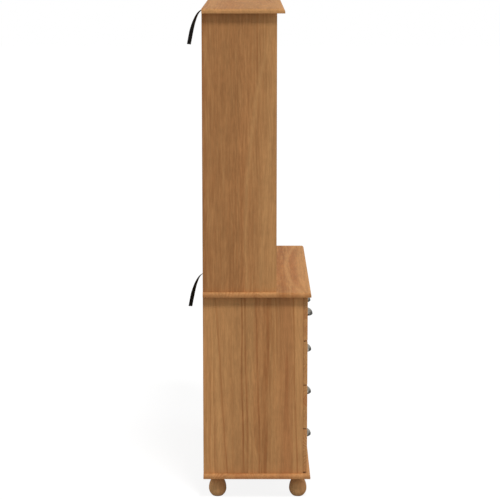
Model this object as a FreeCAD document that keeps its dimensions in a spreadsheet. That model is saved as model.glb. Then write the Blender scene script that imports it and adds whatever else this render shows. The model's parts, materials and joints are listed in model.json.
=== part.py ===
"""Pine hutch: open shelves on a chest of two half-width and three full-width drawers, on bun feet.

The origin is on the floor under the middle of the piece, +Z is up, the width runs along X and the
drawers face -Y. Sizes are in millimetres.
"""

import FreeCAD
import Part
import math
import os
import re

import Sketcher

Vector = FreeCAD.Vector

SIZES = {
    # Boards of the chest
    "worktop_width": 1120,
    "worktop_depth": 430,
    "worktop_thickness": 18,
    "edge_round": 12,
    "side_overhang": 20,
    "front_overhang": 30,
    "base_board_thickness": 18,
    "side_thickness": 18,
    "back_panel_thickness": 6,
    "divider_thickness": 18,
    "divider_drop": 2,
    "partition_thickness": 18,
    "partition_setback": 40,
    # Turned feet
    "foot_height": 85,
    "foot_diameter": 71,
    "foot_sole_diameter": 40,
    "foot_neck_diameter": 38,
    "foot_neck_height": 8,
    "foot_belly_height": 31,
    "foot_end_inset": 64,
    "foot_front_inset": 49,
    "foot_back_inset": 56,
    "foot_bolt_diameter": 8,
    "foot_bolt_length": 50,
    "foot_bolt_reach": 12,
    # Drawer fronts
    "front_height": 176,
    "front_thickness": 16,
    "front_round": 4,
    "front_gap": 4,
    "front_reveal": 2,
    "front_seat_gap": 0.5,
    "lower_gap": 7,
    "upper_gap": 3,
    # Drawer boxes and their runners
    "box_rise": 15,
    "box_height": 140,
    "box_back_room": 24.5,
    "box_side_gap": 2,
    "box_side_thickness": 15,
    "box_back_thickness": 12,
    "bottom_thickness": 5,
    "bottom_rise": 8,
    "bottom_groove": 6,
    "bottom_play": 0.5,
    "runner_height": 16,
    "runner_thickness": 10,
    "runner_rise": 55,
    "runner_setback": 12,
    "running_gap": 0.3,
    # Cup pulls and their screws
    "pull_width": 90,
    "pull_lip_drop": 5.5,
    "pull_radius": 23.5,
    "pull_end_radius": 15,
    "pull_wall": 2,
    "pull_flange": 4,
    "pull_flange_thickness": 1.8,
    "pull_post_spacing": 50,
    "pull_post_rise": 9.5,
    "pull_post_diameter": 7,
    "pull_screw_diameter": 4,
    "pull_screw_reach": 10,
    "screw_head_diameter": 8,
    "screw_head_height": 2.5,
    # Hutch
    "hutch_side_height": 1095,
    "hutch_side_depth": 292,
    "hutch_top_overhang": 31,
    "hutch_top_thickness": 18,
    "shelf_thickness": 18,
    "shelf_setback": 12,
    "shelf_end_gap": 0.5,
    "pin_diameter": 5,
    "pin_length": 18,
    "pin_inset": 45,
    "frieze_height": 60,
    "frieze_thickness": 18,
    "frieze_setback": 6,
    "match_board_thickness": 9,
    "match_board_gap": 0.4,
    "match_board_chamfer": 2.5,
    "tongue_length": 6,
    "tongue_thickness": 3,
    # Dowels
    "dowel_diameter": 8,
    "dowel_length": 30,
    "dowel_reach": 10,
    "dowel_inset": 60,
    "dowel_spread": 40,
    "bore_clearance": 0.1,
    # Wall straps
    "strap_width": 19,
    "strap_thickness": 1.5,
    "strap_slot": 3.5,
    "strap_screw_diameter": 4,
    "strap_screw_reach": 12,
    "strap_screw_inset": 18,
}

WIDE_ROWS = 3
SHELVES = 3
MATCH_BOARDS = 9

# The straps' route: distance behind the back plane, and height from the flat end under the board
STRAP_ROUTE = ((-25, 0), (2, 0), (27, -14), (43, -45), (54.5, -81), (62, -116), (68, -149))
STRAP_TWIST = 85
STRAP_TWIST_START = 0.2
STRAP_TWIST_END = 0.85
STRAP_BEND_SHARE = 0.45
STRAP_BEND_STEPS = 3

doc = FreeCAD.newDocument("Hutch")
sheet = doc.addObject("Spreadsheet::Sheet", "Sizes")
for row, (alias, number) in enumerate(SIZES.items(), start=1):
    sheet.set(f"A{row}", alias)
    sheet.set(f"B{row}", str(number))
    sheet.setAlias(f"B{row}", alias)
doc.recompute()

SIZE_NAME = re.compile(r"\b(" + "|".join(SIZES) + r")\b")

# Planes of the piece, as formulas of the sizes
BASE_DEPTH = "(worktop_depth - front_overhang)"
BACK = f"(({BASE_DEPTH} + front_seat_gap + front_thickness + pull_radius) / 2)"
CARCASS_FRONT = f"({BACK} - {BASE_DEPTH})"
FRONT_INSIDE = f"({CARCASS_FRONT} - front_seat_gap)"
FRONT_FACE = f"({FRONT_INSIDE} - front_thickness)"
BOX_LENGTH = f"({BASE_DEPTH} + front_seat_gap - back_panel_thickness - box_back_room)"
OUTSIDE = "(worktop_width / 2 - side_overhang)"
INSIDE = f"({OUTSIDE} - side_thickness)"
BASE_TOP = "(foot_height + base_board_thickness)"
ROW_PITCH = "(front_height + front_gap)"
TOP_ROW = f"({BASE_TOP} + lower_gap + {WIDE_ROWS} * {ROW_PITCH})"
DIVIDER_TOP = f"({TOP_ROW} - divider_drop)"
CARCASS_TOP = f"({TOP_ROW} + front_height + upper_gap)"
WORKTOP_TOP = f"({CARCASS_TOP} + worktop_thickness)"
HUTCH_TOP = f"({WORKTOP_TOP} + hutch_side_height)"
HUTCH_TOP_DEPTH = "(hutch_side_depth + hutch_top_overhang)"
STRAP_SEAT = "(running_gap + strap_thickness / 2)"

pieces = []
bores = {}


def linked(formula):
    """The formula with each size name pointing into the sheet."""
    return SIZE_NAME.sub(r"Sizes.\1", str(formula))


def value(formula):
    """What a formula of sizes comes to, in millimetres."""
    return float(sheet.evalExpression(linked(formula)))


def place(item, x, y, z):
    """Tie the place of an item to the sizes."""
    for axis, formula in zip("xyz", (x, y, z)):
        item.setExpression(f"Placement.Base.{axis}", linked(formula))
    return item


def turned(axis, angle):
    """A placement at the origin, turned about an axis."""
    return FreeCAD.Placement(Vector(0, 0, 0), FreeCAD.Rotation(Vector(*axis), angle))


ALONG = {"x": turned((0, 1, 0), 90), "-y": turned((1, 0, 0), 90), "z": turned((0, 0, 1), 0)}


def block(name, length, depth, height, x, y, z):
    """A square-edged board, placed by its left, front and lower corner."""
    board = doc.addObject("Part::Box", name)
    for edge, formula in zip(("Length", "Width", "Height"), (length, depth, height)):
        board.setExpression(edge, linked(formula))
    return place(board, x, y, z)


def rod(name, diameter, length, x, y, z, axis="z"):
    """A round rod that runs along an axis from the centre of its first end."""
    bar = doc.addObject("Part::Cylinder", name)
    bar.setExpression("Radius", linked(f"({diameter}) / 2"))
    bar.setExpression("Height", linked(length))
    bar.Placement = ALONG[axis]
    return place(bar, x, y, z)


def group(name, members):
    """Like members that share one node."""
    joined = doc.addObject("Part::Compound", name)
    joined.Links = members
    return joined


def less(name, base, tools):
    """The base with the tools cut away."""
    cut = doc.addObject("Part::Cut", name)
    cut.Base = base
    cut.Tool = tools[0] if len(tools) == 1 else group(f"{name}_cuts", tools)
    return cut


def keep(item, label):
    """Hand in an item as the piece with this label."""
    item.Label = label
    pieces.append(item)
    return item


def board_for(label, blank):
    """Drill a blank with the bores noted for its label, and hand it in."""
    keep(less(f"{label}_drilled", blank, bores[label]) if label in bores else blank, label)


def sketch_on(body, plane, name):
    """An empty sketch on one of a body's own planes."""
    sketch = body.newObject("Sketcher::SketchObject", name)
    planes = {feature.Role: feature for feature in body.Origin.OriginFeatures}
    sketch.AttachmentSupport = (planes[plane], [""])
    sketch.MapMode = "FlatFace"
    return sketch


def round_run(start, end, radius, turn):
    """An arc between two points, bending left (turn 1) or right (turn -1), and the order of its ends."""
    chord = end - start
    rise = math.sqrt(max(radius**2 - (chord.Length / 2) ** 2, 0))
    left = Vector(-chord.y, chord.x, 0).normalize()
    centre = (start + end) / 2 + left * rise * turn
    first, last = (start, end) if turn > 0 else (end, start)
    angles = [math.atan2(point.y - centre.y, point.x - centre.x) for point in (first, last)]
    circle = Part.Circle(centre, Vector(0, 0, 1), radius)
    return Part.ArcOfCircle(circle, *angles), (1, 2) if turn > 0 else (2, 1)


def hold(sketch, kind, axis, index, end, formula):
    """Tie one coordinate of a corner to the sizes, or lay the corner on the axis."""
    distance = value(formula)
    if distance == 0:
        sketch.addConstraint(Sketcher.Constraint("PointOnObject", index, end, axis))
        return
    number = sketch.addConstraint(Sketcher.Constraint(kind, -1, 1, index, end, distance))
    sketch.setExpression(f"Constraints[{number}]", linked(formula))


def draw(sketch, outline):
    """A closed outline: each corner is (across, up), with (radius, turn) if a bend leaves it."""
    corners = [Vector(value(corner[0]), value(corner[1]), 0) for corner in outline]
    ends = []
    for index, (start, corner) in enumerate(zip(corners, outline)):
        end = corners[(index + 1) % len(corners)]
        run, order = Part.LineSegment(start, end), (1, 2)
        if len(corner) > 2:
            run, order = round_run(start, end, value(corner[2]), corner[3])
        sketch.addGeometry(run)
        ends.append(order)
    for index, order in enumerate(ends):
        following = (index + 1) % len(ends)
        corner = (index, order[1], following, ends[following][0])
        sketch.addConstraint(Sketcher.Constraint("Coincident", *corner))
    for index, (order, corner) in enumerate(zip(ends, outline)):
        hold(sketch, "DistanceX", -2, index, order[0], corner[0])
        hold(sketch, "DistanceY", -1, index, order[0], corner[1])
        if len(corner) > 2:
            radius = sketch.addConstraint(Sketcher.Constraint("Radius", index, value(corner[2])))
            sketch.setExpression(f"Constraints[{radius}]", linked(corner[2]))


def pad(body, plane, name, outline, length):
    """Draw an outline on a body's plane and give it length."""
    sketch = sketch_on(body, plane, f"{name}_outline")
    draw(sketch, outline)
    solid = body.newObject("PartDesign::Pad", f"{name}_pad")
    solid.Profile = sketch
    solid.setExpression("Length", linked(length))
    return solid


def revolve(body, name, outline, axis, angle):
    """Draw an outline on a body's upright plane and turn it about a sketch axis."""
    sketch = sketch_on(body, "XZ_Plane", f"{name}_outline")
    draw(sketch, outline)
    solid = body.newObject("PartDesign::Revolution", f"{name}_turning")
    solid.Profile = sketch
    solid.ReferenceAxis = (sketch, [axis])
    solid.Angle = angle
    return solid


def rounded_board(name, length, depth, height, x, y, z, radius, picks):
    """A board with some edges rounded: picks says of an edge's box whether it is one of them."""
    body = doc.addObject("PartDesign::Body", name)
    outline = (("0", "0"), (length, "0"), (length, depth), ("0", depth))
    blank = pad(body, "XY_Plane", name, outline, height)
    doc.recompute()
    whole = blank.Shape.BoundBox
    edges = [f"Edge{number}" for number, edge in enumerate(blank.Shape.Edges, start=1)
             if picks(edge.BoundBox, whole)]
    rounding = body.newObject("PartDesign::Fillet", f"{name}_rounding")
    rounding.Base = (blank, edges)
    rounding.setExpression("Radius", linked(radius))
    return place(body, x, y, z)


def upper_edges(edge, whole):
    """The upper edges of a board at its front and its two ends."""
    return edge.ZMin > whole.ZMax - 0.01 and edge.YMin < whole.YMax - 0.01


def face_edges(edge, whole):
    """The edges round the front face of a board."""
    return edge.YMax < whole.YMin + 0.01


def note_bore(labels, name, diameter, length, x, y, z, axis="z"):
    """A bore that goes through the boards named."""
    bore = rod(name, f"({diameter}) + 2 * bore_clearance", length, x, y, z, axis)
    for label in labels:
        bores.setdefault(label, []).append(bore)


def dowel_pair(name, flat, upright, x, face, rising, insets):
    """Dowels that stand in the face of a flat board and reach into the end of an upright one."""
    dowels = []
    for number, inset in enumerate(insets):
        title = f"{name}_{number}"
        low = f"({face} - dowel_reach)" if rising else f"({face} + dowel_reach - dowel_length)"
        place_at = (x, f"{BACK} - ({inset})", low)
        dowels.append(rod(title, "dowel_diameter", "dowel_length", *place_at))
        note_bore((flat, upright), f"{title}_bore", "dowel_diameter", "dowel_length", *place_at)
    return dowels


def foot(label, x, y):
    """A bun foot, turned from the sole over the belly to a short neck under the base board."""
    body = doc.addObject("PartDesign::Body", f"{label}_turned")
    belly = "foot_diameter / 2"
    shoulder = "(foot_height - foot_neck_height)"
    lower = f"(({belly} - foot_sole_diameter / 2) ^ 2 + foot_belly_height ^ 2)"
    upper = f"(({belly} - foot_neck_diameter / 2) ^ 2 + ({shoulder} - foot_belly_height) ^ 2)"
    revolve(body, label, (
        ("0", "0"),
        ("foot_sole_diameter / 2", "0", f"{lower} / (foot_diameter - foot_sole_diameter)", 1),
        (belly, "foot_belly_height", f"{upper} / (foot_diameter - foot_neck_diameter)", 1),
        ("foot_neck_diameter / 2", shoulder),
        ("foot_neck_diameter / 2", "foot_height"),
        ("0", "foot_height"),
    ), "V_Axis", 360)
    place(body, x, y, "0")
    low = "foot_height + foot_bolt_reach - foot_bolt_length"
    note_bore((label, "base_board"), f"{label}_bore", "foot_bolt_diameter", "foot_bolt_length", x, y, low)
    board_for(label, body)
    return rod(f"{label}_bolt", "foot_bolt_diameter", "foot_bolt_length", x, y, low)


def arch_centre(width, height, end):
    """How far the crown's centre lies under the foot of an arch with round ends."""
    return f"(((({width}) / 2 - {end}) ^ 2 - ({height} - {end}) ^ 2) / (2 * ({height} - {end})))"


def rim(width, height, end, wall):
    """A bowed rim, a wide crown between small round ends: its outer outline, then back along the inner."""
    depth = arch_centre(width, height, end)
    crown = f"({depth} + {height})"
    lean = f"((({width}) / 2 - {end}) / ({crown} - {end}))"
    lift = f"({depth} / ({crown} - {end}))"
    inner = f"({end} - {wall})"
    outer_x, outer_z = f"{end} * (1 - {lean})", f"{end} * {lift}"
    inner_x, inner_z = f"({end} - {inner} * {lean})", f"{inner} * {lift}"
    return (
        ("0", "0", end, -1),
        (outer_x, outer_z, crown, -1),
        (f"{width} - {outer_x}", outer_z, end, -1),
        (width, "0"),
        (f"{width} - {wall}", "0", inner, 1),
        (f"{width} - {inner_x}", inner_z, f"({crown} - {wall})", 1),
        (inner_x, inner_z, inner, 1),
        (wall, "0"),
    )


def cup_pull(name, x, z):
    """A cup pull and its screws: a bowed quarter-round shell with a flange, and posts for the screws."""
    left = f"({x}) - pull_width / 2"
    shell = doc.addObject("PartDesign::Body", f"{name}_shell")
    bowl = rim("pull_width", "pull_radius", "pull_end_radius", "pull_wall")
    revolve(shell, f"{name}_cup", bowl, "H_Axis", 90)
    place(shell, left, FRONT_FACE, z)
    flange = doc.addObject("PartDesign::Body", f"{name}_flange")
    outline = rim("(pull_width + 2 * pull_flange)", "(pull_radius + pull_flange)",
                  "(pull_end_radius + pull_flange)", "(pull_wall + pull_flange)")
    pad(flange, "XZ_Plane", f"{name}_rim", outline, "pull_flange_thickness")
    place(flange, f"{left} - pull_flange", FRONT_FACE, z)
    post_height = f"({z}) + pull_post_rise"
    depth = arch_centre("pull_width", "pull_radius", "pull_end_radius")
    bow = f"(sqrt(({depth} + pull_radius) ^ 2 - (pull_post_spacing / 2) ^ 2) - {depth})"
    roof = f"({bow} - pull_wall / 2) ^ 2 - (pull_post_rise + pull_post_diameter / 2) ^ 2"
    posts, holes, screws = [], [], []
    for number, sign in enumerate((-1, 1)):
        post_x = f"({x}) + {sign} * pull_post_spacing / 2"
        posts.append(rod(f"{name}_post_{number}", "pull_post_diameter", f"sqrt({roof})",
                         post_x, FRONT_FACE, post_height, "-y"))
        shank = (post_x, FRONT_INSIDE, post_height, "-y")
        length = "front_thickness + pull_screw_reach"
        hole = f"{name}_hole_{number}"
        holes.append(rod(hole, "pull_screw_diameter + 2 * bore_clearance", length, *shank))
        screw = doc.addObject("Part::Fuse", f"{name}_screw_{number}")
        screw.Base = rod(f"{name}_shank_{number}", "pull_screw_diameter", length, *shank)
        screw.Tool = rod(f"{name}_head_{number}", "screw_head_diameter", "screw_head_height",
                         post_x, f"{FRONT_INSIDE} + screw_head_height", post_height, "-y")
        screws.append(screw)
    cup = doc.addObject("Part::MultiFuse", f"{name}_cup_and_posts")
    cup.Shapes = [shell, flange, *posts]
    return less(f"{name}_pull", cup, holes), holes, screws


def drawer_side(name, outer_sign, x, box_z):
    """One side of a drawer box, grooved outside for its runner and inside for the bottom."""
    blank = block(f"{name}_blank", "box_side_thickness", BOX_LENGTH, "box_height", x, FRONT_INSIDE, box_z)
    runner_depth = "(runner_thickness - box_side_gap + running_gap)"
    runner_x = x if outer_sign < 0 else f"({x}) + box_side_thickness - {runner_depth}"
    runner_groove = block(f"{name}_runner_groove", runner_depth, BOX_LENGTH,
                          "runner_height + 2 * running_gap", runner_x, FRONT_INSIDE,
                          f"{box_z} + runner_rise - running_gap")
    bottom_x = f"({x}) + box_side_thickness - bottom_groove" if outer_sign < 0 else x
    bottom_groove = block(f"{name}_bottom_groove", "bottom_groove", BOX_LENGTH,
                          "bottom_thickness + bottom_play", bottom_x, FRONT_INSIDE,
                          f"{box_z} + bottom_rise")
    return less(name, blank, [runner_groove, bottom_groove])


def drawer(name, front_left, front_width, box_left, box_width, front_z):
    """A drawer: front, grooved box, and two cup pulls at the quarter points of the front."""
    box_z = f"({front_z} + box_rise)"
    box_right = f"({box_left} + {box_width})"
    sides = [
        drawer_side(f"{name}_left_side", -1, box_left, box_z),
        drawer_side(f"{name}_right_side", 1, f"{box_right} - box_side_thickness", box_z),
    ]
    keep(group(f"{name}_side_pair", sides), f"{name}_sides")

    inner_left = f"({box_left} + box_side_thickness)"
    inner_width = f"({box_width} - 2 * box_side_thickness)"
    floor_top = f"({box_z} + bottom_rise + bottom_thickness)"
    keep(block(f"{name}_back_board", inner_width, "box_back_thickness",
               "box_height - bottom_rise - bottom_thickness", inner_left,
               f"{FRONT_INSIDE} + {BOX_LENGTH} - box_back_thickness", floor_top), f"{name}_back")
    tuck = "(bottom_groove - bottom_play)"
    keep(block(f"{name}_bottom_board", f"{inner_width} + 2 * {tuck}", f"{BOX_LENGTH} + {tuck}",
               "bottom_thickness", f"{inner_left} - {tuck}", f"{FRONT_INSIDE} - {tuck}",
               f"{box_z} + bottom_rise"), f"{name}_bottom")

    pulls, holes, screws = [], [], []
    for side, quarter in (("left", 1), ("right", 3)):
        pull_x = f"{front_left} + {quarter} * {front_width} / 4"
        pull_z = f"{front_z} + front_height / 2 - pull_lip_drop"
        pull, pull_holes, pull_screws = cup_pull(f"{name}_{side}", pull_x, pull_z)
        pulls.append(pull)
        holes += pull_holes
        screws += pull_screws
    keep(group(f"{name}_pull_pair", pulls), f"{name}_pulls")
    keep(group(f"{name}_screw_set", screws), f"{name}_pull_screws")

    blank = rounded_board(f"{name}_front_blank", front_width, "front_thickness", "front_height",
                          front_left, FRONT_FACE, front_z, "front_round", face_edges)
    groove = block(f"{name}_front_groove", f"{inner_width} + 2 * bottom_groove", "bottom_groove",
                   "bottom_thickness + bottom_play", f"{inner_left} - bottom_groove",
                   f"{FRONT_INSIDE} - bottom_groove", f"{box_z} + bottom_rise")
    keep(less(f"{name}_front_board", blank, [groove, *holes]), f"{name}_front")


def runner(name, x, front_z, back_gap):
    """A wooden runner fixed to a carcass wall, for the groove in a drawer side."""
    length = f"{BASE_DEPTH} - runner_setback - ({back_gap})"
    return block(name, "runner_thickness", length, "runner_height", x,
                 f"{CARCASS_FRONT} + runner_setback", f"{front_z} + box_rise + runner_rise")


def build_drawers():
    """The three full-width drawers, the two half-width ones over them, and their runners."""
    front_left = f"(-{OUTSIDE} + front_reveal)"
    front_width = f"(2 * {OUTSIDE} - 2 * front_reveal)"
    box_left = f"(-{INSIDE} + box_side_gap)"
    box_width = f"(2 * {INSIDE} - 2 * box_side_gap)"
    runner_right = f"{INSIDE} - runner_thickness"
    wide_runners = []
    for number, name in enumerate(("lower", "middle", "upper")):
        front_z = f"({BASE_TOP} + lower_gap + {number} * {ROW_PITCH})"
        drawer(f"{name}_drawer", front_left, front_width, box_left, box_width, front_z)
        wide_runners.append(runner(f"{name}_left_runner", f"-{INSIDE}", front_z, "back_panel_thickness"))
        wide_runners.append(runner(f"{name}_right_runner", runner_right, front_z, "back_panel_thickness"))
    keep(group("wide_runner_set", wide_runners), "wide_drawer_runners")

    half_front = f"(({front_width} - front_gap) / 2)"
    half_box = f"({INSIDE} - partition_thickness / 2 - 2 * box_side_gap)"
    drawer("top_left_drawer", front_left, half_front, box_left, half_box, TOP_ROW)
    drawer("top_right_drawer", "(front_gap / 2)", half_front,
           "(partition_thickness / 2 + box_side_gap)", half_box, TOP_ROW)
    top_runners = [
        runner("top_outer_left_runner", f"-{INSIDE}", TOP_ROW, "back_panel_thickness"),
        runner("top_inner_left_runner", "-partition_thickness / 2 - runner_thickness", TOP_ROW,
               "partition_setback"),
        runner("top_inner_right_runner", "partition_thickness / 2", TOP_ROW, "partition_setback"),
        runner("top_outer_right_runner", runner_right, TOP_ROW, "back_panel_thickness"),
    ]
    keep(group("top_runner_set", top_runners), "top_drawer_runners")


def build_chest():
    """Feet, base board, sides, back, divider, partition and worktop, with their dowels."""
    bolts = []
    foot_x = "(worktop_width / 2 - foot_end_inset)"
    foot_y = {"front": f"{BACK} - worktop_depth + foot_front_inset", "back": f"{BACK} - foot_back_inset"}
    for end, y in foot_y.items():
        for side, sign in (("left", "-"), ("right", "")):
            bolts.append(foot(f"{end}_{side}_foot", f"{sign}{foot_x}", y))
    keep(group("foot_bolt_set", bolts), "foot_bolts")

    dowels = []
    insets = ("dowel_inset", f"{BASE_DEPTH} - dowel_inset")
    hutch_insets = ("dowel_inset + dowel_spread", "hutch_side_depth - dowel_inset")
    top_insets = ("dowel_inset", "hutch_side_depth - dowel_inset")
    for side, sign in (("left", "-"), ("right", "")):
        middle = f"{sign}({OUTSIDE} - side_thickness / 2)"
        base_side, hutch_side = f"base_{side}_side", f"hutch_{side}_side"
        dowels += dowel_pair(f"{side}_foot_dowel", "base_board", base_side, middle, BASE_TOP, True, insets)
        dowels += dowel_pair(f"{side}_top_dowel", "worktop", base_side, middle, CARCASS_TOP, False, insets)
        dowels += dowel_pair(f"{side}_hutch_dowel", "worktop", hutch_side, middle, WORKTOP_TOP, True,
                             hutch_insets)
        dowels += dowel_pair(f"{side}_crown_dowel", "hutch_top", hutch_side, middle, HUTCH_TOP, False,
                             top_insets)
        start = f"-{INSIDE} - dowel_reach" if sign else f"{INSIDE} + dowel_reach - dowel_length"
        for number, inset in enumerate(insets):
            title = f"{side}_divider_dowel_{number}"
            spot = (start, f"{BACK} - ({inset})", f"{DIVIDER_TOP} - divider_thickness / 2", "x")
            dowels.append(rod(title, "dowel_diameter", "dowel_length", *spot))
            note_bore((base_side, "divider_board"), f"{title}_bore", "dowel_diameter", "dowel_length", *spot)
    partition_insets = ("partition_setback + dowel_spread", f"{BASE_DEPTH} - dowel_inset")
    dowels += dowel_pair("partition_dowel", "divider_board", "partition", "0", DIVIDER_TOP, True,
                         partition_insets)
    dowels += dowel_pair("partition_top_dowel", "worktop", "partition", "0", CARCASS_TOP, False,
                         partition_insets)
    keep(group("dowel_set", dowels), "dowels")

    left = "-worktop_width / 2"
    front = f"{BACK} - worktop_depth"
    board_for("base_board", rounded_board("base_board_blank", "worktop_width", "worktop_depth",
              "base_board_thickness", left, front, "foot_height", "edge_round", upper_edges))
    note_bore(("worktop",), "lower_strap_bore", "strap_screw_diameter", "strap_screw_reach",
              "0", f"{BACK} - strap_screw_inset", CARCASS_TOP)
    board_for("worktop", rounded_board("worktop_blank", "worktop_width", "worktop_depth",
              "worktop_thickness", left, front, CARCASS_TOP, "edge_round", upper_edges))
    side_height = f"{CARCASS_TOP} - {BASE_TOP}"
    for side, x in (("left", f"-{OUTSIDE}"), ("right", INSIDE)):
        label = f"base_{side}_side"
        board_for(label, block(f"{label}_blank", "side_thickness", BASE_DEPTH, side_height,
                               x, CARCASS_FRONT, BASE_TOP))
    inner_depth = f"{BASE_DEPTH} - back_panel_thickness"
    keep(block("base_back", f"2 * {INSIDE}", "back_panel_thickness", f"{side_height} - strap_slot",
               f"-{INSIDE}", f"{BACK} - back_panel_thickness", BASE_TOP), "base_back_panel")
    board_for("divider_board", block("divider_blank", f"2 * {INSIDE}", inner_depth, "divider_thickness",
              f"-{INSIDE}", CARCASS_FRONT, f"{DIVIDER_TOP} - divider_thickness"))
    board_for("partition", block("partition_blank", "partition_thickness",
              f"{BASE_DEPTH} - partition_setback", f"{CARCASS_TOP} - {DIVIDER_TOP}",
              "-partition_thickness / 2", CARCASS_FRONT, DIVIDER_TOP))


def match_board(number, width):
    """A board of the hutch back, with a groove at its left edge, a tongue at its right and V edges."""
    body = doc.addObject("PartDesign::Body", f"match_board_{number}")
    face = f"({width} - match_board_gap)"
    thick, chamfer = "match_board_thickness", "match_board_chamfer"
    tongue_front = f"({thick} - tongue_thickness) / 2"
    tongue_back = f"({thick} + tongue_thickness) / 2"
    groove_depth = "tongue_length + match_board_gap"
    tongue = ((f"{face} + tongue_length", tongue_front), (f"{face} + tongue_length", tongue_back))
    outline = [(chamfer, "0"), (f"{face} - {chamfer}", "0"), (face, chamfer)]
    if number < MATCH_BOARDS - 1:
        outline += [(face, tongue_front), *tongue, (face, tongue_back)]
    outline += [(face, thick), ("0", thick)]
    if number > 0:
        outline += [("0", f"{tongue_back} + bore_clearance"),
                    (groove_depth, f"{tongue_back} + bore_clearance"),
                    (groove_depth, f"{tongue_front} - bore_clearance"),
                    ("0", f"{tongue_front} - bore_clearance")]
    outline.append(("0", chamfer))
    pad(body, "XY_Plane", f"match_board_{number}", outline, "hutch_side_height - strap_slot")
    return place(body, f"-{INSIDE} + match_board_gap / 2 + {number} * {width}",
                 f"{BACK} - match_board_thickness", WORKTOP_TOP)


def build_hutch():
    """Sides, top, matched back boards, frieze, and shelves on their pins."""
    hutch_front = f"({BACK} - hutch_side_depth)"
    shelf_step = f"((hutch_side_height + shelf_thickness) / {SHELVES + 1})"
    shelf_depth = "hutch_side_depth - shelf_setback - match_board_thickness"
    pins = []
    for number, name in enumerate(("lower", "middle", "upper"), start=1):
        shelf_z = f"({WORKTOP_TOP} + {number} * {shelf_step} - shelf_thickness)"
        keep(block(f"{name}_shelf_board", f"2 * {INSIDE} - 2 * shelf_end_gap", shelf_depth, "shelf_thickness",
                   f"-{INSIDE} + shelf_end_gap", f"{hutch_front} + shelf_setback", shelf_z), f"{name}_shelf")
        for side, sign in (("left", "-"), ("right", "")):
            start = f"{sign}{INSIDE} - pin_length / 2"
            for end, inset in (("back", "pin_inset + match_board_thickness"),
                               ("front", "hutch_side_depth - pin_inset")):
                title = f"{name}_{side}_{end}_pin"
                spot = (start, f"{BACK} - ({inset})", f"{shelf_z} - pin_diameter / 2 - bore_clearance", "x")
                pins.append(rod(title, "pin_diameter", "pin_length", *spot))
                note_bore((f"hutch_{side}_side",), f"{title}_bore", "pin_diameter", "pin_length", *spot)
    keep(group("shelf_pin_set", pins), "shelf_pins")

    for side, x in (("left", f"-{OUTSIDE}"), ("right", INSIDE)):
        label = f"hutch_{side}_side"
        board_for(label, block(f"{label}_blank", "side_thickness", "hutch_side_depth", "hutch_side_height",
                               x, hutch_front, WORKTOP_TOP))
    note_bore(("hutch_top",), "upper_strap_bore", "strap_screw_diameter", "strap_screw_reach",
              "0", f"{BACK} - strap_screw_inset", HUTCH_TOP)
    board_for("hutch_top", rounded_board("hutch_top_blank", "worktop_width", HUTCH_TOP_DEPTH,
              "hutch_top_thickness", "-worktop_width / 2", f"{BACK} - {HUTCH_TOP_DEPTH}", HUTCH_TOP,
              "edge_round", upper_edges))
    keep(block("frieze_board", f"2 * {INSIDE}", "frieze_thickness", "frieze_height", f"-{INSIDE}",
               f"{hutch_front} + frieze_setback", f"{HUTCH_TOP} - frieze_height"), "frieze")
    width = f"(2 * {INSIDE} / {MATCH_BOARDS})"
    boards = [match_board(number, width) for number in range(MATCH_BOARDS)]
    keep(group("match_board_set", boards), "hutch_back_boards")


def strap_stations():
    """Points along the strap with their headings: straight runs joined by arcs as large as fit."""
    points = [Vector(0, out, up) for out, up in STRAP_ROUTE]
    stations = [(points[0], (points[1] - points[0]).normalize())]
    for before, corner, after in zip(points, points[1:], points[2:]):
        arriving, leaving = (corner - before).normalize(), (after - corner).normalize()
        reach = STRAP_BEND_SHARE * min((corner - before).Length, (after - corner).Length)
        turn = arriving.getAngle(leaving)
        radius = reach / math.tan(turn / 2)
        print(f"strap bend radius {radius:.0f} mm")
        inward = (leaving - arriving).normalize()
        centre = corner + inward * (radius / math.cos(turn / 2))
        for step in range(STRAP_BEND_STEPS + 1):
            heading = arriving * math.sin(turn * (1 - step / STRAP_BEND_STEPS))
            heading += leaving * math.sin(turn * step / STRAP_BEND_STEPS)
            heading.normalize()
            outward = Vector(0, heading.z, -heading.y)
            if outward.dot(inward) > 0:
                outward = outward * -1
            stations.append((centre + outward * radius, heading))
    stations.append((points[-1], (points[-1] - points[-2]).normalize()))
    return stations


def strap(label, board_underside):
    """A webbing wall strap: flat under its screw, then bending down and turning its face sideways."""
    stations = strap_stations()
    lengths = [0]
    for (here, _), (there, _) in zip(stations, stations[1:]):
        lengths.append(lengths[-1] + (there - here).Length)
    half_width, half_thickness = value("strap_width / 2"), value("strap_thickness / 2")
    sections = []
    for (point, heading), run in zip(stations, lengths):
        share = (run / lengths[-1] - STRAP_TWIST_START) / (STRAP_TWIST_END - STRAP_TWIST_START)
        share = min(max(share, 0), 1)
        twist = math.radians(STRAP_TWIST) * share * share * (3 - 2 * share)
        across = Vector(1, 0, 0)
        upward = heading.cross(across)
        wide = (across * math.cos(twist) + upward * math.sin(twist)) * half_width
        thin = (upward * math.cos(twist) - across * math.sin(twist)) * half_thickness
        corners = [point + wide + thin, point - wide + thin, point - wide - thin, point + wide - thin]
        sections.append(Part.makePolygon(corners + corners[:1]))
    webbing = Part.makeLoft(sections, True, True)
    hole = Part.makeCylinder(value("strap_screw_diameter / 2 + bore_clearance"), value("2 * strap_slot"),
                             Vector(0, -value("strap_screw_inset"), -value("strap_slot")))
    feature = doc.addObject("Part::Feature", f"{label}_webbing")
    feature.Shape = webbing.cut(hole)
    print(f"{label}: {lengths[-1]:.0f} mm long, {webbing.Volume:.0f} mm3 of",
          f"{lengths[-1] * value('strap_width * strap_thickness'):.0f}")
    seat = Vector(0, value(BACK), value(f"{board_underside} - {STRAP_SEAT}"))
    feature.Placement = FreeCAD.Placement(seat, FreeCAD.Rotation())
    keep(feature, label)


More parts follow.
